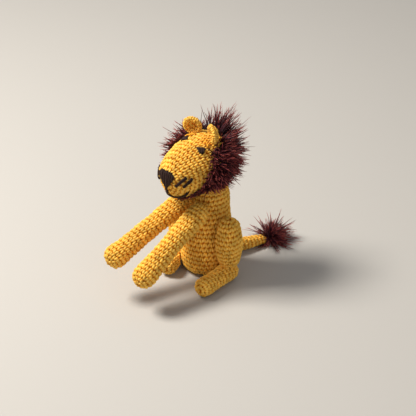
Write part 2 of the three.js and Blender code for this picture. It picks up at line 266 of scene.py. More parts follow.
def fill(node: bpy.types.Node, sockets: dict[object, object]) -> None:
    """Links each named input of a shader node to an output, or sets it to a constant."""
    for key, value in sockets.items():
        if isinstance(value, bpy.types.NodeSocket):
            node.id_data.links.new(value, node.inputs[key])
        else:
            node.inputs[key].default_value = value


def shade(
    material: bpy.types.Material, kind: str, sockets: Optional[dict[object, object]] = None, **values: object
) -> bpy.types.Node:
    """Adds a shader node of a kind to a material, with its inputs filled and its plain properties set."""
    node = material.node_tree.nodes.new(kind)
    for key, value in values.items():
        setattr(node, key, value)
    fill(node, sockets or {})
    return node


def reckon(material: bpy.types.Material, operation: str, *terms: object) -> bpy.types.NodeSocket:
    """Adds a math node with its terms, and returns its result."""
    return shade(material, "ShaderNodeMath", dict(enumerate(terms)), operation=operation).outputs[0]


def reading(material: bpy.types.Material, word: str) -> bpy.types.NodeSocket:
    """The number that a mesh attribute holds."""
    return shade(material, "ShaderNodeAttribute", attribute_name=word).outputs["Fac"]


def spread_out(
    material: bpy.types.Material, value: bpy.types.NodeSocket, low: float, high: float, first: float = 0.0,
    last: float = 1.0,
) -> bpy.types.NodeSocket:
    """Maps a number that goes from first to last onto low to high."""
    sockets = {"Value": value, "From Min": first, "From Max": last, "To Min": low, "To Max": high}
    return shade(material, "ShaderNodeMapRange", sockets).outputs["Result"]


def tinted(
    material: bpy.types.Material, share: bpy.types.NodeSocket, colours: tuple[Place, Place, Place],
    first: float, value: bpy.types.NodeSocket,
) -> bpy.types.NodeSocket:
    """A colour from a ramp of three, the middle one at MIDDLE_STOP, made lighter or darker by a value."""
    ramp = shade(material, "ShaderNodeValToRGB", {"Fac": share})
    stops = ramp.color_ramp.elements
    stops[0].position, stops[0].color = first, (*colours[0], 1)
    stops[1].position, stops[1].color = 1.0, (*colours[2], 1)
    stops.new(MIDDLE_STOP).color = (*colours[1], 1)
    tint = shade(material, "ShaderNodeHueSaturation", {"Value": value, "Color": ramp.outputs["Color"]})
    return tint.outputs["Color"]


def bumped(
    material: bpy.types.Material, height: bpy.types.NodeSocket, strength: float, deep: float
) -> bpy.types.NodeSocket:
    """Normals that a height, deep millimetres at most, tilts."""
    sockets = {"Strength": strength, "Distance": deep * MM, "Height": height}
    return shade(material, "ShaderNodeBump", sockets).outputs["Normal"]


@dataclass(frozen=True)
class YarnFinish:
    """A spun yarn: plies that wind round it, fine fibres along them, and painted shade where it dips into the
    fabric with painted light where it stands out.

    Colours are linear. Ridges follow sin(2 pi (turns + length / twist)), so they wind round the yarn.
    """

    name: str
    # The three colours run from painted shade in the hollows, through the yarn's own colour, to painted light
    # on the crests.
    hollow: Place
    body: Place
    crest: Place
    roughness: float = 0.85
    sheen: float = 0.3
    plies: int = 3
    twist: float = 2.6
    relief: float = 0.12
    mottle: float = 0.35

    def material(self) -> bpy.types.Material:
        """Builds the finish once and returns it."""
        made = bpy.data.materials.get(self.name)
        if made:
            return made
        made = bpy.data.materials.new(self.name)
        made.use_nodes = True
        thread = shade(made, "ShaderNodeUVMap", uv_map="thread").outputs["UV"]
        split = shade(made, "ShaderNodeSeparateXYZ", {0: thread}).outputs
        turns = reckon(made, "ADD", reckon(made, "DIVIDE", split["X"], self.twist), split["Y"])
        ridge = reckon(made, "SINE", reckon(made, "MULTIPLY", turns, 2 * math.pi * self.plies))
        stretch = shade(made, "ShaderNodeMapping", {"Vector": thread, "Scale": (0.8, 7, 1)}).outputs[0]
        noise = {"Vector": stretch, "Scale": 2.2, "Detail": 4}
        fibre = shade(made, "ShaderNodeTexNoise", noise).outputs["Fac"]
        place = shade(made, "ShaderNodeTexCoord").outputs["Object"]
        noise = {"Vector": place, "Scale": 90, "Detail": 3}
        patch = shade(made, "ShaderNodeTexNoise", noise).outputs["Fac"]

        # Painted shade and light: the ramp's share is how far the yarn stands out, rippled by its plies.
        uneven = reckon(made, "MULTIPLY_ADD", ridge, 0.16, reading(made, "depth"))
        blend = reckon(made, "ADD", reading(made, "tone"), patch)
        swing = spread_out(made, blend, 1 - self.mottle, 1 + self.mottle * 0.6, first=0.3, last=1.7)
        relief = reckon(made, "MULTIPLY_ADD", ridge, 0.5, fibre)
        rough = spread_out(made, fibre, self.roughness - 0.1, min(1.0, self.roughness + 0.1))
        fill(made.node_tree.nodes["Principled BSDF"], {
            "Base Color": tinted(made, uneven, (self.hollow, self.body, self.crest), 0.08, swing),
            "Roughness": rough,
            "Normal": bumped(made, relief, 0.7, self.relief),
            "Sheen Weight": self.sheen,
            "Sheen Roughness": 0.45,
            "Sheen Tint": (*self.crest, 1),
            "Specular IOR Level": 0.2,
        })
        return made


@dataclass(frozen=True)
class FurFinish:
    """Silky burgundy eyelash yarn, with painted shade near black at the root and painted light at the tip."""

    name: str = "eyelash_yarn"
    # The root colour is painted shade, the middle the yarn's own burgundy, and the tip colour painted light.
    root: Place = (0.016, 0.002, 0.006)
    middle: Place = (0.058, 0.005, 0.014)
    tip: Place = (0.34, 0.065, 0.05)

    def material(self) -> bpy.types.Material:
        """Builds the finish once and returns it."""
        made = bpy.data.materials.get(self.name)
        if made:
            return made
        made = bpy.data.materials.new(self.name)
        made.use_nodes = True
        place = shade(made, "ShaderNodeTexCoord").outputs["Object"]
        grain = shade(made, "ShaderNodeTexNoise", {"Vector": place, "Scale": 1400}).outputs["Fac"]
        swing = spread_out(made, reading(made, "tone"), 0.5, 1.7)
        colours = (self.root, self.middle, self.tip)
        # Painted shade at the root and painted light at the tip, by the share along each strand.
        fill(made.node_tree.nodes["Principled BSDF"], {
            "Base Color": tinted(made, reading(made, "depth"), colours, 0.1, swing),
            "Roughness": spread_out(made, grain, 0.38, 0.62),
            "Normal": bumped(made, grain, 0.3, 0.03),
            "Sheen Weight": 0.1,
            "Sheen Roughness": 0.4,
            "Sheen Tint": (0.5, 0.2, 0.2, 1),
            "Specular IOR Level": 0.35,
        })
        return made


@dataclass(frozen=True)
class FloorFinish:
    """Plain pale card."""

    name: str = "pale_floor"
    colour: Place = (0.5, 0.49, 0.48)

    def material(self) -> bpy.types.Material:
        """Builds the finish."""
        made = bpy.data.materials.new(self.name)
        made.use_nodes = True
        sockets = {"Base Color": (*self.colour, 1), "Roughness": 0.9, "Specular IOR Level": 0.2}
        fill(made.node_tree.nodes["Principled BSDF"], sockets)
        return made


# In each yarn the first colour is painted shade for the hollows and the last is painted light for the crests.
COTTON = YarnFinish("golden_cotton", (0.55, 0.145, 0.005), (0.9, 0.42, 0.026), (1.0, 0.64, 0.135))
SEWING = YarnFinish(
    "sewing_cotton", (0.55, 0.145, 0.005), (0.88, 0.39, 0.024), (1.0, 0.56, 0.09), plies=2, twist=2
)
EMBROIDERY = YarnFinish(
    "dark_embroidery_cotton", (0.008, 0.003, 0.003), (0.022, 0.009, 0.007), (0.045, 0.02, 0.016),
    roughness=0.62, sheen=0.2, plies=2, twist=2.0,
)
FIBRE = YarnFinish(
    "loose_fibre", (0.7, 0.69, 0.66), (0.82, 0.81, 0.78), (0.9, 0.89, 0.87),
    roughness=0.95, twist=2.0, relief=0.3,
)
FUR = FurFinish()
FUR_CORE = YarnFinish(
    "eyelash_core", (0.012, 0.003, 0.005), (0.03, 0.006, 0.012), (0.06, 0.012, 0.022),
    roughness=0.6, sheen=0.2,
)


# ---------------------------------------------------------------- stuffed forms and crochet


@dataclass(frozen=True)
class Bulge:
    """A soft swelling of a stuffed form.

    A point at a distance d from the centre moves by push * exp(-d^2 / reach^2).
    """

    centre: Place
    reach: float
    push: Place

    def shift(self, p: Points) -> Points:
        """How far points move."""
        square = ((p - np.array(self.centre)) ** 2).sum(-1, keepdims=True)
        return np.array(self.push) * np.exp(-square / self.reach**2)


@dataclass
class StuffedForm:
    """A stuffed shape turned about an axis, a little uneven, as hand-worked fabric over loose fibre is.

    A point is origin + axis * h + r * (side * cos + across * sin), where (r, h) runs along the outline by its
    length, plus the outline's own normal times the lift and a slow sum of sines.
    """

    outline: tuple[tuple[float, float], ...]
    origin: Place
    axis: Place
    side: Place = (1, 0, 0)
    lean: float = 0.0
    lump: float = 0.3
    seed: int = 1
    press: Optional[Callable[[Points], Points]] = None
    bulge: Optional[Bulge] = None

    def __post_init__(self) -> None:
        """Samples the outline and draws the unevenness once."""
        run = curve_through(np.array(self.outline, float), 24)
        gone = np.concatenate([[0], np.cumsum(np.linalg.norm(np.diff(run, axis=0), axis=1))])
        self.length = float(gone[-1])
        self.s = np.linspace(0, self.length, 400)
        self.r = np.maximum(np.interp(self.s, gone, run[:, 0]), 0)
        self.h = np.interp(self.s, gone, run[:, 1])
        self.along = unit(np.array(self.axis, float))
        side = np.array(self.side, float)
        self.first = unit(side - self.along * (side @ self.along))
        self.second = np.cross(self.along, self.first)
        rng = np.random.default_rng(self.seed)
        self.waves = unit(rng.normal(size=(6, 3))) * (2 * np.pi / rng.uniform(13, 34, (6, 1)))
        self.phases = rng.uniform(0, 2 * np.pi, 6)

    def radius(self, s: Points) -> Points:
        """Distance from the axis at a length along the outline."""
        return np.interp(s, self.s, self.r)

    def points(self, turn: Points, s: Points, lift: Points = 0.0) -> Points:
        """Points at shares of a turn and lengths along the outline, raised by lift along the normal."""
        turn, s, lift = np.broadcast_arrays(turn, s, lift)
        r, h = np.interp(s, self.s, self.r), np.interp(s, self.s, self.h)
        dr = np.interp(s, self.s, np.gradient(self.r, self.s))
        dh = np.interp(s, self.s, np.gradient(self.h, self.s))
        size = np.maximum(np.hypot(dr, dh), 1e-6)
        r, h = r + lift * dh / size, h - lift * dr / size
        angle = 2 * np.pi * turn
        spoke = self.first * np.cos(angle)[..., None] + self.second * np.sin(angle)[..., None]
        p = np.array(self.origin) + self.along * h[..., None] + spoke * r[..., None]
        uneven = np.sin(p @ self.waves.T + self.phases).sum(-1) / 6
        outward = spoke * (dh / size)[..., None] - self.along * (dr / size)[..., None]
        p = p + outward * (uneven * self.lump)[..., None]
        p[..., 1] += self.lean * p[..., 2]
        if self.bulge:
            p = p + self.bulge.shift(p)
        return self.press(p) if self.press else p

    def normals(self, turn: Points, s: Points) -> Points:
        """Outward directions from the cross product of the two differences of points."""
        turn, s = np.broadcast_arrays(turn, s)
        s = np.clip(s, 0.3, self.length - 0.3)
        round_it = self.points(turn + 0.006, s) - self.points(turn - 0.006, s)
        ahead = self.points(turn, s + 0.25) - self.points(turn, s - 0.25)
        return unit(np.cross(round_it, ahead))

    def gap(self, p: Points) -> Points:
        """How far points lie outside the form, measured from its axis; negative inside."""
        if self.bulge:
            p = p - self.bulge.shift(p)
        q = p - np.array(self.origin)
        q = q - np.stack([q[..., 0] * 0, self.lean * p[..., 2], q[..., 0] * 0], -1)
        h = q @ self.along
        r = np.linalg.norm(q - self.along * h[..., None], axis=-1)
        edge = np.interp(h, self.h, self.r, left=-9, right=-9)
        return r - edge

    def outside(self, p: Points, by: float) -> Points:
        """Points inside the form, or nearer than by, moved straight away from its axis to that distance."""
        q = p - np.array(self.origin)
        h = q @ self.along
        spoke = q - self.along * h[..., None]
        short = np.maximum(by - self.gap(p), 0)
        inside = (h > self.h.min()) & (h < self.h.max())
        return p + unit(spoke) * (short * inside)[..., None]

    def seen_from(self, heart: Points, through: Points, lift: float) -> Points:
        """Where rays from a point inside, through other points, leave the form, then raised by lift."""
        way = unit(np.asarray(through, float) - heart)
        near, far = np.zeros(way.shape[:-1]), np.full(way.shape[:-1], 60.0)
        for _ in range(26):
            middle = (near + far) / 2
            inside = self.gap(heart + way * middle[..., None]) < 0
            near, far = np.where(inside, middle, near), np.where(inside, far, middle)
        return heart + way * (near + lift)[..., None]


@dataclass
class Crochet:
    """Single crochet worked in a spiral from a form's first pole: each stitch is a V of two yarn legs.

    A leg starts under the middle of its stitch, arches over the fabric and ends under the stitch's upper
    corner. So its centre line is near turn = middle + side * width * (0.14 + 0.78 t), length = middle + row *
    (t - 0.5) * 1.16 and lift = low + (top - low) * sin(pi t) ^ 0.85. It is thickest in the middle.
    """

    row: float = 3.6
    stitch: float = 3.6
    thickness: float = 1.9
    top: float = 0.0
    low: float = -2.6
    fewest: int = 6
    rings: int = 5
    seed: int = 3

    def stitches(self, form: StuffedForm) -> tuple[Points, Points, Points, float]:
        """The turn, length and half width in turns of every stitch, and the height of a round."""
        rounds = max(2, round(form.length / self.row))
        row = form.length / rounds
        turns, places, widths = [], [], []
        drift = 0.0
        for k in range(rounds):
            count = max(self.fewest, round(2 * math.pi * float(form.radius((k + 0.5) * row)) / self.stitch))
            share = (np.arange(count) + 0.5) / count
            turns.append(share * (1 + 0.2 / count) + drift)
            drift += 0.2 / count
            places.append(0.35 * row + (k + share) / rounds * (form.length - 0.7 * row))
            widths.append(np.full(count, 0.5 / count))
        return np.concatenate(turns), np.concatenate(places), np.concatenate(widths), row

    def lay(
        self, form: StuffedForm, weave: Weave, keep: Optional[Callable[[Points], Points]] = None
    ) -> int:
        """Lays every stitch of a form into a weave.

        Args:
            form: the stuffed form that the stitches cover.
            weave: the piece that gets them.
            keep: a test of stitch middles; stitches that fail it are left out.

        Returns:
            How many stitches were laid.
        """
        turn, place, half, row = self.stitches(form)
        if keep is not None:
            chosen = keep(form.points(turn, place))
            turn, place, half = turn[chosen], place[chosen], half[chosen]
        rng = np.random.default_rng(self.seed + form.seed)
        n = len(turn)
        t = np.linspace(0, 1, self.rings + 2)
        rise = np.sin(np.pi * t) ** 0.85
        legs = np.array([-1.0, 1.0])[None, :, None]
        nudge = rng.normal(0, 0.05, (n, 1, 1))
        a = turn[:, None, None] + half[:, None, None] * (legs * (0.14 + 0.78 * t) + 0.2 * (t - 0.5) + nudge)
        b = place[:, None, None] + row * (1.16 * (t - 0.5) + 0.07 * legs + rng.normal(0, 0.04, (n, 1, 1)))
        b = np.clip(b, 0.02, form.length - 0.02)
        thick = self.thickness / 2
        crest = self.top - thick + rng.normal(0, 0.13, (n, 2, 1))
        lift = self.low + thick * 0.6 + (crest - self.low - thick * 0.6) * rise
        a, b = np.broadcast_to(a, lift.shape), np.broadcast_to(b, lift.shape)
        path = form.points(a, b, lift).reshape(n * 2, -1, 3)
        normal = form.normals(a, b).reshape(n * 2, -1, 3)
        width = (2 * np.pi * form.radius(place) * half)[:, None] * np.ones(2)
        width = np.clip(width.reshape(-1), 0.9, self.stitch * 0.56)[:, None]
        round_end = np.sin(np.pi * (0.08 + 0.84 * t[1:-1])) ** 0.35
        wide = 0.5 * width * round_end * rng.normal(1, 0.07, (n * 2, 1))
        high = np.full_like(wide, thick) * round_end
        tone = np.repeat(rng.uniform(0, 1, n), 2) * 0.7 + rng.uniform(0, 0.3, n * 2)
        # Painted shade and light along each leg: dark where it dips into the fabric, light at the top of its
        # arch.
        depth = np.broadcast_to(rise ** 1.6, path.shape[:2])
        weave.tubes(path, normal, wide, high, tone, depth)
        return n

    def backing(self, form: StuffedForm, weave: Weave, columns: int = 40) -> None:
        """Lays the closed fabric that the stitches stand on."""
        s = np.linspace(0.05, form.length - 0.05, max(16, int(form.length / 2)))[:, None]
        # The backing is painted in the hollows' shade, and shows it in the gaps between stitches.
        weave.skin(form.points(np.arange(columns)[None, :] / columns, s, self.low + 1.1), depth=0.05)


def padded_piece(name: str, body: str, node: str, weave: Weave) -> None:
    """Makes a weave into a stuffed cotton piece that rides on a body and stands for a CAD cover."""
    made = weave.piece(name, COTTON.material())
    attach(made, body)
    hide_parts(node)


@dataclass
class SewnRing:
    """Whip stitches round a joint between two pieces: short slanted loops of sewing yarn on a circle."""

    centre: Place
    axis: Place
    radius: float
    reach: float = 1.6
    yarn: float = 0.5
    slant: float = 0.5
    bulge: float = 0.7

    def weave(self, weave: Weave) -> None:
        """Lays the loops, from -reach to reach along the axis, turned by slant stitches and bulging out."""
        axis = unit(np.array(self.axis, float))
        first = unit(np.cross(axis, [0.31, 0.2, 0.93]))
        second = np.cross(axis, first)
        count = max(6, round(2 * np.pi * self.radius / 1.9))
        t = np.linspace(0, 1, 8)
        angle = 2 * np.pi * (np.arange(count)[:, None] + self.slant * (t - 0.5) * 2) / count
        spoke = first * np.cos(angle)[..., None] + second * np.sin(angle)[..., None]
        out = self.radius + self.bulge * (np.sin(np.pi * t) - 0.6)
        path = np.array(self.centre) + spoke * out[:, None] + axis * ((t - 0.5) * 2 * self.reach)[:, None]
        ones = np.ones((count, 6))
        tone = np.random.default_rng(7).uniform(0.2, 0.8, count)
        # Painted shade where each loop goes into the fabric, painted light over its middle.
        depth = np.broadcast_to(np.sin(np.pi * t) * 0.7 + 0.2, (count, 8))
        weave.tubes(path, spoke, ones * self.yarn, ones * self.yarn, tone, depth)


def seam_piece(name: str, body: str, weave: Weave) -> None:
    """Makes a weave into a seam of sewing yarn that stands for the CAD seam of the same name."""
    made = weave.piece(name, SEWING.material())
    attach(made, body)
    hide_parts(name.removesuffix("_stitches"))


# ---------------------------------------------------------------- the body


@dataclass
class Body:
    """The pear-shaped body, flat where it sits, worked in level rounds from the seat to the neck."""

    height: float = 65.2
    seat_y: float = -2.2
    neck_y: float = 2.6
    outline: tuple[tuple[float, float], ...] = (
        (0, 0), (6, 0), (11, 0), (15.2, 1.8), (17.8, 6), (18.7, 12), (18.5, 19), (17.5, 29), (16.2, 39),
        (15, 48), (14.3, 57), (12.9, 64), (10.6, 65.6), (5, 66), (0, 66),
    )

    def form(self) -> StuffedForm:
        """The body's stuffed form; its first side faces backwards, where rounds start."""
        lean = (self.neck_y - self.seat_y) / self.height
        origin = (0, self.seat_y, 0)
        return StuffedForm(self.outline, origin, (0, 0, 1), (0, 1, 0), lean, 0.35, 11, self.level)

    @staticmethod
    def level(p: Points) -> Points:
        """Keeps the seat on or above the floor."""
        return np.concatenate([p[..., :2], np.maximum(p[..., 2:], 0.02)], -1)

    def build(self) -> None:
        """Makes the body cover."""
        form, crochet, weave = self.form(), Crochet(), Weave()
        crochet.backing(form, weave, 56)
        laid = crochet.lay(form, weave)
        padded_piece("body", "torso", "body_cover", weave)
        log.info("body: %d stitches", laid)


# ---------------------------------------------------------------- the head and face


@dataclass
class Head:
    """The egg-shaped head, worked in rounds from the nose backwards, with its embroidered face."""

    tip: Place = (0, -41.4, 83.8)
    rise: float = 7.2
    heart: Place = (0, -20, 87.4)
    outline: tuple[tuple[float, float], ...] = (
        (0, 0.8), (7.2, 2.2), (11.2, 5.5), (14.5, 10.5), (17.1, 17.2), (18.9, 26.5), (19.2, 36), (17.5, 46),
        (12, 54), (6, 56.6), (0, 57.6),
    )
    thread: float = 0.62

    def form(self) -> StuffedForm:
        """The head's stuffed form, fuller at the chin; rounds start under it."""
        angle = math.radians(self.rise)
        chin = Bulge((0, -31, 70), 12, (0, -0.6, -2.8))
        return StuffedForm(
            self.outline, self.tip, (0, math.cos(angle), math.sin(angle)), (0, 0, -1), 0, 0.3, 23, None, chin
        )

    def strand(
        self, weave: Weave, points: list[Place], seed: int, lift: float, twice: float = 0.0
    ) -> None:
        """Lays one embroidery thread over the fabric through points, its ends sinking into it.

        Args:
            weave: the piece that gets the thread.
            points: points near the head's surface that the thread passes over.
            seed: chooses its slight waver.
            lift: how far its centre line stands off the cover.
            twice: how far a second thread lies beside the first one, or 0 for a single thread.
        """
        t = np.linspace(0, 1, 14)
        rng = np.random.default_rng(seed)
        form = self.form()
        line = along_path(np.array(points), t)
        heart = np.array(self.heart)
        over = form.seen_from(heart, line, 0.0)
        out = unit(over - heart)
        beside = unit(np.cross(out, np.gradient(over, axis=0)))
        for k in (-0.5, 0.5) if twice else (0.0,):
            waver = 0.12 * np.sin(2 * np.pi * (t * rng.uniform(0.7, 1.6) + rng.uniform()))
            end = np.abs(2 * t - 1)
            path = over + beside * (k * twice + waver)[:, None] + out * (lift - 1.5 * end[:, None] ** 7)
            ones = np.ones((1, len(t) - 2))
            # Painted shade where the thread's ends sink into the fabric.
            depth = 0.7 - 0.5 * end[None] ** 5
            tone = rng.uniform(0.1, 0.9, 1)
            weave.tubes(path[None], out[None], ones * self.thread, ones * self.thread * 0.8, tone, depth, 6)

    def embroidered(self, weave: Weave, name: str) -> None:
        """Makes a weave into a piece of embroidery that stands for the CAD node of the same name."""
        made = weave.piece(name + "_stitches", EMBROIDERY.material())
        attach(made, "head")
        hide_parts(name)

    def satin(self, name: str, upper: list[Place], lower: list[Place], count: int, seed: int) -> None:
        """Fills a patch between two edges with threads side by side, each slightly uneven at its ends."""
        weave = Weave()
        share = np.linspace(0.0, 1.0, count)
        top, bottom = along_path(np.array(upper), share), along_path(np.array(lower), share)
        rng = np.random.default_rng(seed)
        top = top + rng.normal(0, 0.22, top.shape)
        bottom = bottom + rng.normal(0, 0.22, bottom.shape)
        for k in range(count):
            middle = (top[k] + bottom[k]) / 2
            stitch = [tuple(top[k]), tuple(middle), tuple(bottom[k])]
            self.strand(weave, stitch, seed + k, 0.3 + 0.2 * (k % 2))
        self.embroidered(weave, name)

    def line(self, name: str, points: list[Place], seed: int, twice: float = 1.0) -> None:
        """Makes one straight or bent stitch of doubled thread."""
        weave = Weave()
        self.strand(weave, points, seed, 0.45, twice)
        self.embroidered(weave, name)

    def build(self) -> None:
        """Makes the head cover and the face."""
        form, crochet, weave = self.form(), Crochet(), Weave()
        crochet.backing(form, weave, 56)
        laid = crochet.lay(form, weave)
        padded_piece("head", "head", "head_cover", weave)
        log.info("head: %d stitches", laid)
        self.satin(
            "nose",
            [
                (-6.6, -41, 90), (-5.2, -41, 92.2), (-2.5, -41, 93.2), (2.5, -41, 93.2), (5.4, -41, 92.2),
                (7.2, -41, 90),
            ],
            [
                (-6.2, -41, 87), (-3.8, -41, 82.6), (-0.8, -41, 78.2), (0.8, -41, 78.2), (4, -41, 82.6),
                (6.6, -41, 87),
            ],
            17, 31,
        )
        self.line("nose_line", [(0, -41, 80), (0, -40, 77.6), (0, -37.6, 74.8)], 51)
        smile = [(11.4, -29.8, 78.4), (9.6, -30.6, 75), (7, -31.6, 73.2), (3.4, -34, 72.6), (0, -35.8, 73.8)]
        self.line("mouth_line", smile + [(-x, y, z) for x, y, z in smile[-2::-1]], 52, 1.15)
        for side in Side:
            x = side.value
            upper = [(7.6 * x, -39.7, 82), (11.4 * x, -37.4, 86.2), (14.5 * x, -34.5, 89.9)]
            lower = [(11.9 * x, -36.7, 81.5), (14.7 * x, -33.8, 84.8), (16.7 * x, -30.8, 88.5)]
            self.line(f"{side.word}_whisker_upper", upper, 61)
            self.line(f"{side.word}_whisker_lower", lower, 62)
            brow = [(7.8 * x, -17.6, 107.1), (9.8 * x, -15, 106.7), (11.8 * x, -12.4, 105.8)]
            cheek = [(12.8 * x, -18.4, 103.6), (13.6 * x, -17.4, 103.2), (13.8 * x, -16, 103.2)]
            if side is Side.RIGHT:
                brow, cheek = ([(x + 3.4, y + 2, z + 1) for x, y, z in edge] for edge in (brow, cheek))
            self.satin(f"{side.word}_eye", brow, cheek, 9, 71)
            weave = Weave()
            for k in range(4):
                at = 5 + 2.2 * k
                stitch = [(at * x, -6.2, 108.6), (at * x, -8.6, 107.5), ((at + 0.8) * x, -10.6, 105.6)]
                self.strand(weave, stitch, 80 + k, 0.5)
            seam_piece(f"{side.word}_ear_seam_stitches", "head", weave)


# ---------------------------------------------------------------- ears


@dataclass
class Ear:
    """A small cupped disc of thin fabric, worked on both faces, its lower edge resting on the head."""

    side: Side
    x: float = 10.0
    y: float = -4.6
    z: float = 110.9
    turn: float = 28.0
    lean: float = 8.0
    cup: float = 8.3
    fabric: float = 2.2
    rim: float = 7.0
    sunk: float = 3.0
    full: float = 1.1

    def form(self, head: StuffedForm) -> StuffedForm:
        """The cup: its outer face, a sphere's cap, then its rim and its inner face back to the middle."""
        edge = math.asin(self.rim / self.cup)
        outer = [(self.cup * math.sin(a), self.cup * (1 - math.cos(a))) for a in np.linspace(0, edge, 5)]
        deep = self.cup - self.fabric
        inner = [
            (deep * math.sin(a), self.cup - deep * math.cos(a) + self.full * math.cos(a))
            for a in np.linspace(edge, 0, 5)
        ]
        turn, lean = math.radians(self.turn), math.radians(self.lean)
        sign = self.side.value
        level = math.cos(lean)
        axis = np.array([-sign * level * math.sin(turn), -level * math.cos(turn), -math.sin(lean)])
        origin = np.array([sign * self.x, self.y, self.z]) - axis * self.sunk
        return StuffedForm(
            tuple(outer + inner), tuple(origin), tuple(axis), (0, 0, -1), 0, 0.25, 41 + sign,
            lambda p: head.outside(p, 0.25),
        )

    def build(self, head: StuffedForm) -> None:
        """Makes the ear on a head."""
        crochet = Crochet(row=2.8, stitch=3.2, thickness=1.6, top=0.4, low=-1.6, seed=9)
        form, weave = self.form(head), Weave()
        crochet.backing(form, weave, 32)
        laid = crochet.lay(form, weave)
        ear = f"{self.side.word}_ear"
        padded_piece(f"{ear}_cup", ear, ear, weave)
        log.info("%s ear: %d stitches", self.side.word, laid)


# ---------------------------------------------------------------- fur yarn


@dataclass
class Lashes:
    """Strands of eyelash yarn in small tufts, each strand tapering and bending a little.

    A strand's point is root + way * length * t + bend * length * t^2, and it thins towards the tip.
    Its length is the tuft's times shortest + (longest - shortest) * u^rare, where u is even between 0 and 1.
    """

    thick: float = 0.3
    tufted: int = 5
    spread: float = 0.13
    sag: float = 0.1
    curl: float = 0.12
    shortest: float = 0.44
    longest: float = 1.16
    rare: float = 2.1
    seed: int = 5

    def grow(
        self, weave: Weave, roots: Points, ways: Points, lengths: Points, tidy: Callable[[Points], Points]
    ) -> None:
        """Grows a tuft of strands at each root.

        Args:
            weave: the piece that gets them.
            roots: where tufts start, shaped (tufts, 3).
            ways: their directions.
            lengths: their lengths.
            tidy: moves strand points out of what they rest on.
        """
        rng = np.random.default_rng(self.seed)
        n = len(roots) * self.tufted
        root = np.repeat(roots, self.tufted, 0) + rng.normal(0, 0.45, (n, 3))
        way = unit(np.repeat(ways, self.tufted, 0) + rng.normal(0, self.spread, (n, 3)))
        share = self.shortest + (self.longest - self.shortest) * rng.uniform(0, 1, n) ** self.rare
        length = np.repeat(lengths, self.tufted) * share
        shared = np.repeat(rng.normal(0, 1, roots.shape), self.tufted, 0)
        bend = (shared * 0.7 + rng.normal(0, 0.6, (n, 3))) * self.curl
        bend[:, 2] -= self.sag * rng.uniform(0.3, 1.5, n)
        t = np.array([0, 0.04, 0.25, 0.5, 0.75, 0.94, 1.0])
        far = length[:, None] * t
        path = tidy(root[:, None] + way[:, None] * far[..., None] + bend[:, None] * (far * t)[..., None])
        lift = np.broadcast_to(unit(np.cross(way, rng.normal(size=(n, 3))))[:, None], path.shape)
        taper = np.array([0.85, 1.0, 0.92, 0.7, 0.36]) * self.thick
        wide = taper * rng.uniform(0.75, 1.25, (n, 1))
        # Each strand's painted shade at the root and painted light at the tip follow its share along it.
        weave.tubes(path, lift, wide, wide, rng.uniform(0, 1, n), np.broadcast_to(t, path.shape[:2]), 3)


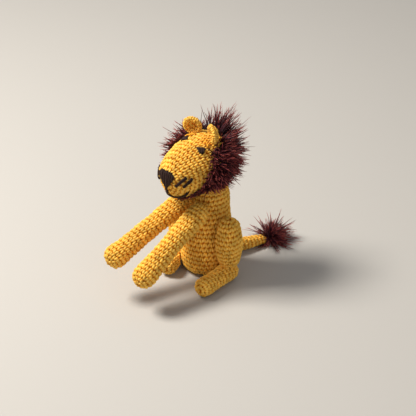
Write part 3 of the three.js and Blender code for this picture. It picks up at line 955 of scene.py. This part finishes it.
@dataclass
class Mane:
    """The ruff of eyelash yarn, worked on a crocheted band round the back of the head."""

    centre: Place = (0, -2.4, 89.1)
    lean: float = 25.0
    front: float = 14.0
    front_above: float = 0.0
    back: float = -21.0
    tufts: int = 680
    length: float = 16.5
    rest: float = 66.4
    soft: float = 4.0
    clear: float = 6.0

    @property
    def forward(self) -> Points:
        """The direction that the ring of the mane faces."""
        angle = math.radians(self.lean)
        return np.array([0, -math.cos(angle), math.sin(angle)])

    def along(self, p: Points) -> Points:
        """How far points lie in front of the ring's plane."""
        return (p - np.array(self.centre)) @ self.forward

    def spokes(self, p: Points) -> Points:
        """Directions from the ring's axis to points."""
        q = p - np.array(self.centre)
        return unit(q - self.forward * (q @ self.forward)[..., None])

    def covered(self, p: Points, less: float = 0.0) -> Points:
        """Which points of the head the mane covers: less far forward between the ears than on the cheeks.

        Args:
            p: points on the head.
            less: how much further back than the mane's own edge the covered part starts.

        Returns:
            True for each point that is covered.
        """
        upper = np.clip((self.spokes(p)[..., 2] - 0.45) / 0.35, 0, 1)
        edge = self.front + (self.front_above - self.front) * upper - less
        along = self.along(p)
        return (along < edge) & (along > self.back)

    def tidy(self, head: StuffedForm) -> Callable[[Points], Points]:
        """A rule that keeps strands off the head, and bends them up where they come near the shoulders.

        The lowest level is rest + 1, and clear more beside and behind the neck. A point at a height v above
        it, less than soft, goes to soft * exp(v / soft - 1).
        """

        def rule(path: Points) -> Points:
            """Moves a path's points."""
            path = path.copy()
            path[:, 2:] = head.outside(path[:, 2:], 0.9)
            beside = np.clip((np.abs(path[..., 0]) - 9) / 8, 0, 1)
            behind = np.clip((path[..., 1] - 2) / 8, 0, 1)
            low = self.rest + 1 + self.clear * np.maximum(beside, behind)
            above = path[..., 2] - low
            bent = self.soft * np.exp(np.minimum(above, self.soft) / self.soft - 1)
            path[..., 2] = low + np.where(above < self.soft, bent, above)
            return path

        return rule

    def half(self, head: StuffedForm, side: Side) -> None:
        """Makes the strands of one side of the mane."""
        rng = np.random.default_rng(100 + side.value)
        want = self.tufts * 12
        turn, s = rng.uniform(0, 1, want), rng.uniform(20, head.length - 1, want)
        p = head.points(turn, s)
        chance = head.radius(s) / head.radius(s).max()
        along = self.along(p)
        spoke = self.spokes(p)
        good = self.covered(p) & (p[:, 0] * side.value > -1) & (rng.uniform(0, 1, want) < chance)
        p, along, spoke = (values[good][: self.tufts] for values in (p, along, spoke))
        share = np.clip((along + 10) / 20, 0, 1)
        upper = np.clip(spoke[:, 2], -1, 1)
        fluff = np.where(share > 0.7, rng.uniform(0, 0.7, len(p)), 0) * (upper < 0.6)
        tilt = -0.8 + 1.15 * share**1.4 + fluff
        crown = np.clip((upper - 0.75) / 0.15, 0, 1)
        tilt = tilt + 0.6 * np.clip((along - 8) / 6, 0, 1) + 0.5 * crown
        spoke[:, 2] *= np.where(spoke[:, 2] < 0, 0.5, 1)
        way = unit(spoke + self.forward * tilt[:, None] + rng.normal(0, 0.24, p.shape))
        length = self.length * rng.normal(1, 0.15, len(p)) * (0.6 + 0.42 * share) * (0.84 + 0.34 * upper)
        corner = np.clip(1 - np.abs(upper - 0.55) / 0.35, 0, 1)
        trim = 0.25 if side is Side.RIGHT else 0.18
        length *= 1 - trim * corner + 0.7 * crown
        length = np.where(tilt > 0.5, length * 0.65, length)
        weave, lashes = Weave(), Lashes(seed=7 + side.value)
        lashes.grow(weave, p, way, np.clip(length, 6, 22), self.tidy(head))
        made = weave.piece(f"{side.word}_mane", FUR.material())
        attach(made, "head")
        if side is Side.LEFT:
            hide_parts("mane_pile")
        log.info("%s mane: %d strands", side.word, len(p) * lashes.tufted)

    def build(self, head: StuffedForm) -> None:
        """Makes the band and both sides of the ruff."""
        band = Crochet(row=3.4, stitch=3.4, thickness=1.7, top=1.5, low=-0.6, seed=17)
        weave = Weave()
        band.lay(head, weave, lambda p: self.covered(p, 2.0))
        made = weave.piece("mane_band_stitches", FUR_CORE.material())
        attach(made, "head")
        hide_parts("mane_band")
        for side in Side:
            self.half(head, side)


# ---------------------------------------------------------------- arms


@dataclass
class Arm:
    """A stuffed arm, worked from the paw, which is slightly fuller; it is sewn to the front of the chest."""

    side: Side
    drop: float
    spread: float
    x: float = 9.6
    y: float = -20.0
    z: float = 54.4
    root: float = 8.1
    paw: float = 8.6
    length: float = 58.0
    seam: float = 4.1

    def form(self) -> StuffedForm:
        """The arm's stuffed form, from the paw's tip to the shoulder; rounds start underneath."""
        drop, spread, sign = math.radians(self.drop), math.radians(self.spread), self.side.value
        level = math.cos(drop)
        way = np.array([sign * math.sin(spread) * level, -math.cos(spread) * level, -math.sin(drop)])
        p, r, end = self.paw, self.root, self.length + self.paw
        outline = (
            (0, 0), (p * 0.72, p * 0.3), (p, p), (p * 0.93, p + 9), (r * 0.95, p + 20), (r * 0.93, end - 25),
            (r * 0.98, end - 5), (r * 0.97, end), (r * 0.7, end + r * 0.7), (3, end + r * 0.93),
            (0, end + r * 0.97),
        )
        origin = np.array([sign * self.x, self.y, self.z]) + way * end
        return StuffedForm(outline, tuple(origin), tuple(-way), (0, 0, -1), 0, 0.4, 60 + sign)

    def build(self, body: StuffedForm) -> None:
        """Makes the arm and the stitches that hold it to a body."""
        form, crochet, weave = self.form(), Crochet(), Weave()
        crochet.backing(form, weave, 32)
        laid = crochet.lay(form, weave)
        word, sign = self.side.word, self.side.value
        padded_piece(f"{word}_arm_padded", f"{word}_arm", f"{word}_arm_cover", weave)
        shoulder = np.array([sign * self.x, self.y, self.z])
        inward = unit(np.array([-sign * self.x, body.origin[1] + body.lean * self.z - self.y, 0]))
        middle = shoulder + inward * (self.root - 0.3)
        ring = SewnRing(tuple(middle), tuple(inward), self.seam + 0.6, 1.2, 0.45)
        weave = Weave()
        ring.weave(weave)
        seam_piece(f"{word}_shoulder_seam_stitches", f"{word}_shoulder", weave)
        log.info("%s arm: %d stitches", word, laid)


# ---------------------------------------------------------------- legs


@dataclass
class Leg:
    """A hind leg in one piece: an upright thigh, worked in level rounds, and a foot from the heel on."""

    side: Side
    foot_turn: float
    x: float = 23.9
    y: float = -3.3
    z: float = 32.0
    inner: float = 19.2
    front: float = -12.0
    seat_y: float = -2.2
    heel: tuple[float, float] = (23.6, -3.0)
    sole: float = 7.0
    foot: float = 27.0
    seam: float = 4.8
    outline: tuple[tuple[float, float], ...] = (
        (0, -24), (6.4, -18.7), (9, -11), (10, -1), (8.2, 12.4), (4.6, 17.2), (0, 18.8),
    )

    def flattened(self, p: Points) -> Points:
        """Keeps the inner side flat, and outside the round of the belly."""
        p = p.copy()
        sign = self.side.value
        x, y = p[..., 0] * sign, p[..., 1] - self.seat_y
        r = np.hypot(x, y)
        grow = np.where(r < self.inner, self.inner / np.maximum(r, 0.1), 1)
        x, y = x * grow, y * grow
        x = np.where(y + self.seat_y > self.front, np.maximum(x, self.inner), x)
        p[..., 0], p[..., 1] = x * sign, y + self.seat_y
        p[..., 2] = np.maximum(p[..., 2], 0.02)
        return p

    def thigh(self) -> StuffedForm:
        """The thigh's form, upright."""
        sign = self.side.value
        origin = (sign * self.x, self.y, self.z)
        return StuffedForm(
            self.outline, origin, (0, 0, 1), (-sign, 0, 0), 0, 0.4, 80 + sign, self.flattened
        )

    def foot_form(self) -> StuffedForm:
        """The foot's form, from the toes to the heel."""
        turn, sign, r = math.radians(self.foot_turn), self.side.value, self.sole
        way = np.array([sign * math.sin(turn), -math.cos(turn), 0])
        end = self.foot + r
        outline = (
            (0, 0), (5.4, 2.2), (r, 7), (r * 0.96, 7 + self.foot / 2), (r, end), (5.4, end + 4.8),
            (0, end + 7),
        )
        origin = np.array([sign * self.heel[0], self.heel[1], r]) + way * end
        return StuffedForm(outline, tuple(origin), tuple(-way), (0, 0, -1), 0, 0.3, 90 + sign, self.flattened)

    def build(self) -> None:
        """Makes the leg and the stitches that hold it to the hip."""
        thigh, foot, crochet, weave = self.thigh(), self.foot_form(), Crochet(), Weave()
        crochet.backing(thigh, weave, 36)
        crochet.backing(foot, weave, 32)
        laid = crochet.lay(thigh, weave, lambda p: foot.gap(p) > -1.6)
        laid += crochet.lay(foot, weave, lambda p: thigh.gap(p) > -1.6)
        word, sign = self.side.word, self.side.value
        padded_piece(f"{word}_leg_padded", f"{word}_leg", f"{word}_leg_cover", weave)
        weave = Weave()
        hip = (sign * (self.inner - 0.5), self.y, self.z + 1.5)
        SewnRing(hip, (1, 0, 0), self.seam, 1.0, 0.45).weave(weave)
        seam_piece(f"{word}_hip_seam_stitches", "torso", weave)
        log.info("%s leg: %d stitches", word, laid)


# ---------------------------------------------------------------- tail and neck


@dataclass
class Tail:
    """The short tail with its bursting tuft of eyelash yarn, tied on with a few wraps of the same yarn."""

    y: float = 22.9
    z: float = 5.7
    turn: float = 16.0
    drop: float = 3.5
    root: float = 5.2
    tip: float = 3.7
    length: float = 30.0
    knot: float = 32.5
    seam: float = 2.9
    tufts: int = 190
    reach: float = 17.5
    press_y: float = 76.0
    press: float = 0.55

    def way(self) -> Points:
        """The direction that the tail points in."""
        turn, drop = math.radians(self.turn), math.radians(self.drop)
        return np.array([math.sin(turn) * math.cos(drop), math.cos(turn) * math.cos(drop), -math.sin(drop)])

    def form(self) -> StuffedForm:
        """The tail's form, from its tip to its root."""
        r, end, t = self.root, self.length, self.tip
        outline = (
            (0, 0), (t * 0.8, 0.8), (t, 4), (r * 0.96, end - 14), (r, end - 3), (r * 0.93, end + 2.8),
            (3.2, end + 5.3), (0, end + 5.8),
        )
        origin = np.array([0, self.y, self.z]) + self.way() * end
        return StuffedForm(outline, tuple(origin), tuple(-self.way()), (0, 0, -1), 0, 0.25, 71)

    def burst(self) -> None:
        """Makes the tuft: tufts of strands all round the knot, most of them away from the tail."""
        rng = np.random.default_rng(61)
        way = unit(rng.normal(0, 1, (self.tufts, 3)) + self.way() * 1.0 + np.array([0, 0, 0.25]))
        middle = np.array([0, self.y, self.z]) + self.way() * (self.knot + 1)
        length = self.reach * rng.normal(1, 0.18, self.tufts)
        weave = Weave()
        tail = self.form()

        def rule(path: Points) -> Points:
            """Keeps strands off the floor and the tail, and draws in those that reach past press_y."""
            path = path.copy()
            path[:, 2:] = tail.outside(path[:, 2:], 0.5)
            path[..., 2] = np.maximum(path[..., 2], 0.3 + 0.25 * np.sin(path[..., 0] * 2) ** 2)
            path[..., 1] -= self.press * np.maximum(path[..., 1] - self.press_y, 0)
            return path

        Lashes(seed=63).grow(weave, middle + way * 1.4, way, np.clip(length, 9, 21), rule)
        made = weave.piece("tail_tuft_strands", FUR.material())
        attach(made, "tail")
        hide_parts("tail_tuft")

    def tie(self) -> None:
        """Makes the knot: yarn wrapped five times round the tuft's root."""
        t = np.linspace(0, 1, 90)
        way = self.way()
        first = unit(np.cross(way, [0, 0, 1.0]))
        second = np.cross(way, first)
        angle = 2 * np.pi * 5 * t
        out = (2.3 + 0.25 * np.sin(9 * t)) * np.sin(np.pi * (0.15 + 0.7 * t))
        spoke = first * np.cos(angle)[:, None] + second * np.sin(angle)[:, None]
        middle = np.array([0, self.y, self.z]) + way * (self.knot - 1.8 + 3.6 * t)[:, None]
        path = (middle + spoke * out[:, None])[None]
        weave = Weave()
        ones = np.ones((1, len(t) - 2)) * 0.55
        weave.tubes(path, spoke[None], ones, ones, np.array([0.5]), np.full((1, len(t)), 0.6), 6)
        made = weave.piece("tuft_knot_wraps", FUR_CORE.material())
        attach(made, "tail")
        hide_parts("tuft_knot")

    def build(self) -> None:
        """Makes the tail, its seam, its knot and its tuft."""
        form, crochet, weave = self.form(), Crochet(low=-1.9), Weave()
        crochet.backing(form, weave, 24)
        laid = crochet.lay(form, weave)
        padded_piece("tail_padded", "tail", "tail_cover", weave)
        weave = Weave()
        SewnRing((0, self.y - self.root - 0.1, self.z), (0, 1, 0), self.seam + 1.0, 1.5, 0.6).weave(weave)
        seam_piece("tail_seam_stitches", "tail_root", weave)
        self.tie()
        self.burst()
        log.info("tail: %d stitches", laid)


@dataclass
class Neck:
    """The last rounds of the neck, drawn up and sewn under the head."""

    y: float = 2.6
    low: float = 63.6
    high: float = 72.8
    radius: float = 12.0

    def build(self, head: StuffedForm) -> None:
        """Makes the drawn-up rounds and the whip stitches over them."""
        r, y = self.radius, self.y
        low, high = self.low, self.high
        outline = (
            (0, low), (r * 0.75, low + 0.1), (r, low + 1.2), (r, low + 4), (r * 0.96, high - 2),
            (r * 0.7, high - 0.2), (0, high),
        )
        form = StuffedForm(
            outline, (0, y, 0), (0, 0, 1), (0, 1, 0), 0, 0.25, 33, lambda p: head.outside(p, 0.1)
        )
        weave, crochet = Weave(), Crochet(row=3.3)
        crochet.backing(form, weave, 40)
        crochet.lay(form, weave)
        made = weave.piece("neck_rounds", COTTON.material())
        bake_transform(made)
        weave = Weave()
        SewnRing((0, y, 66.2), (0, 0, 1), r - 0.2, 1.6, 0.5, 0.6, 0.5).weave(weave)
        seam_piece("neck_seam_stitches", "neck", weave)


@dataclass
class Filling:
    """The loose fibre inside each cover, which the CAD solids already hold the shape of."""

    nodes: tuple[str, ...] = (
        "body_stuffing", "head_stuffing", "left_arm_stuffing", "right_arm_stuffing", "left_leg_stuffing",
        "right_leg_stuffing",
    )

    def dress(self) -> None:
        """Gives each filling its fibre finish."""
        for node in self.nodes:
            mesh = frame["nodes"][node].data
            mesh.materials.clear()
            mesh.materials.append(FIBRE.material())


# ---------------------------------------------------------------- the studio


@dataclass
class Studio:
    """A plain pale floor, soft light from the upper left of the view, and the camera."""

    azimuth: float = 45.0
    elevation: float = 32.0
    distance: float = 1.07
    width: float = 0.2995
    seat_below: float = 0.137

    def camera(self) -> None:
        """Places the camera: it looks at the seat, tilted up so that the seat falls below the middle."""
        a, e = math.radians(self.azimuth), math.radians(self.elevation)
        back = np.array([math.sin(a) * math.cos(e), -math.cos(a) * math.cos(e), math.sin(e)])
        right = np.array([math.cos(a), math.sin(a), 0])
        up = np.cross(back, right)
        tilt = math.atan(self.seat_below * self.width / self.distance)
        away = back * math.cos(tilt) - up * math.sin(tilt)
        data = bpy.data.cameras.new("camera")
        data.sensor_width = 36
        data.lens = data.sensor_width * self.distance / self.width
        data.clip_start, data.clip_end = 0.01, 20
        made = bpy.data.objects.new("camera", data)
        rows = np.stack([right, np.cross(away, right), away, back * self.distance], -1)
        made.matrix_world = Matrix([*rows.tolist(), [0, 0, 0, 1]])
        bpy.context.scene.collection.objects.link(made)
        bpy.context.scene.camera = made

    def lamp(self, name: str, place: Place, power: float, size: float, colour: Place) -> None:
        """Adds a soft square light that faces the lion."""
        data = bpy.data.lights.new(name, "AREA")
        data.energy, data.size, data.color = power, size, colour
        made = bpy.data.objects.new(name, data)
        back = unit(np.array(place) - np.array([0, 0, 0.05]))
        right = unit(np.cross([0, 0, 1.0], back))
        up = np.cross(back, right)
        rows = np.stack([right, up, back, place], -1)
        made.matrix_world = Matrix([*rows.tolist(), [0, 0, 0, 1]])
        bpy.context.scene.collection.objects.link(made)

    def light(self) -> None:
        """Adds the lights and the even light of the room."""
        self.lamp("key_light", (-0.5, -0.42, 0.95), 18.5, 0.35, (1, 0.94, 0.84))
        self.lamp("fill_light", (0.95, -0.5, 0.5), 1.6, 0.7, (1, 0.96, 0.9))
        world = bpy.data.worlds.new("room")
        world.use_nodes = True
        world.node_tree.nodes["Background"].inputs["Color"].default_value = (1, 0.98, 0.95, 1)
        world.node_tree.nodes["Background"].inputs["Strength"].default_value = 0.35
        bpy.context.scene.world = world
        bpy.context.scene.view_settings.view_transform = "Standard"

    def floor(self) -> None:
        """Lays a floor sheet under the lion: z = -0.5 mm, sweeping up as 0.5 (r - 0.9)^2 beyond r = 0.9 m."""
        cells, half_width, level_to = 96, 2.4, 0.9
        across = np.linspace(-half_width, half_width, cells + 1)
        x, y = np.meshgrid(across, across, indexing="xy")
        z = -0.5 * MM + 0.5 * np.clip(np.hypot(x, y) - level_to, 0, None) ** 2
        i, j = np.meshgrid(np.arange(cells), np.arange(cells), indexing="ij")
        start = (i * (cells + 1) + j).ravel()
        corners = np.stack([start, start + 1, start + cells + 2, start + cells + 1], -1)
        mesh = bpy.data.meshes.new("floor")
        mesh.from_pydata(np.stack([x, y, z], -1).reshape(-1, 3), [], corners)
        mesh.polygons.foreach_set("use_smooth", np.ones(len(corners), bool))
        mesh.materials.append(FloorFinish().material())
        made = bpy.data.objects.new("floor", mesh)
        bpy.context.scene.collection.objects.link(made)


def main() -> None:
    """Builds the studio and the lion, piece by piece."""
    logging.basicConfig(level=logging.INFO, format="%(name)s: %(message)s")
    studio = Studio()
    studio.camera()
    studio.light()
    studio.floor()
    body, head = Body(), Head()
    body.build()
    head.build()
    skull = head.form()
    Neck().build(skull)
    for side in Side:
        Ear(side).build(skull)
    Mane().build(skull)
    Arm(Side.LEFT, 28.5, 0.5).build(body.form())
    Arm(Side.RIGHT, 22.5, 7).build(body.form())
    Leg(Side.LEFT, 6).build()
    Leg(Side.RIGHT, -25).build()
    Tail().build()
    Filling().dress()


if __name__ == "__main__":
    main()
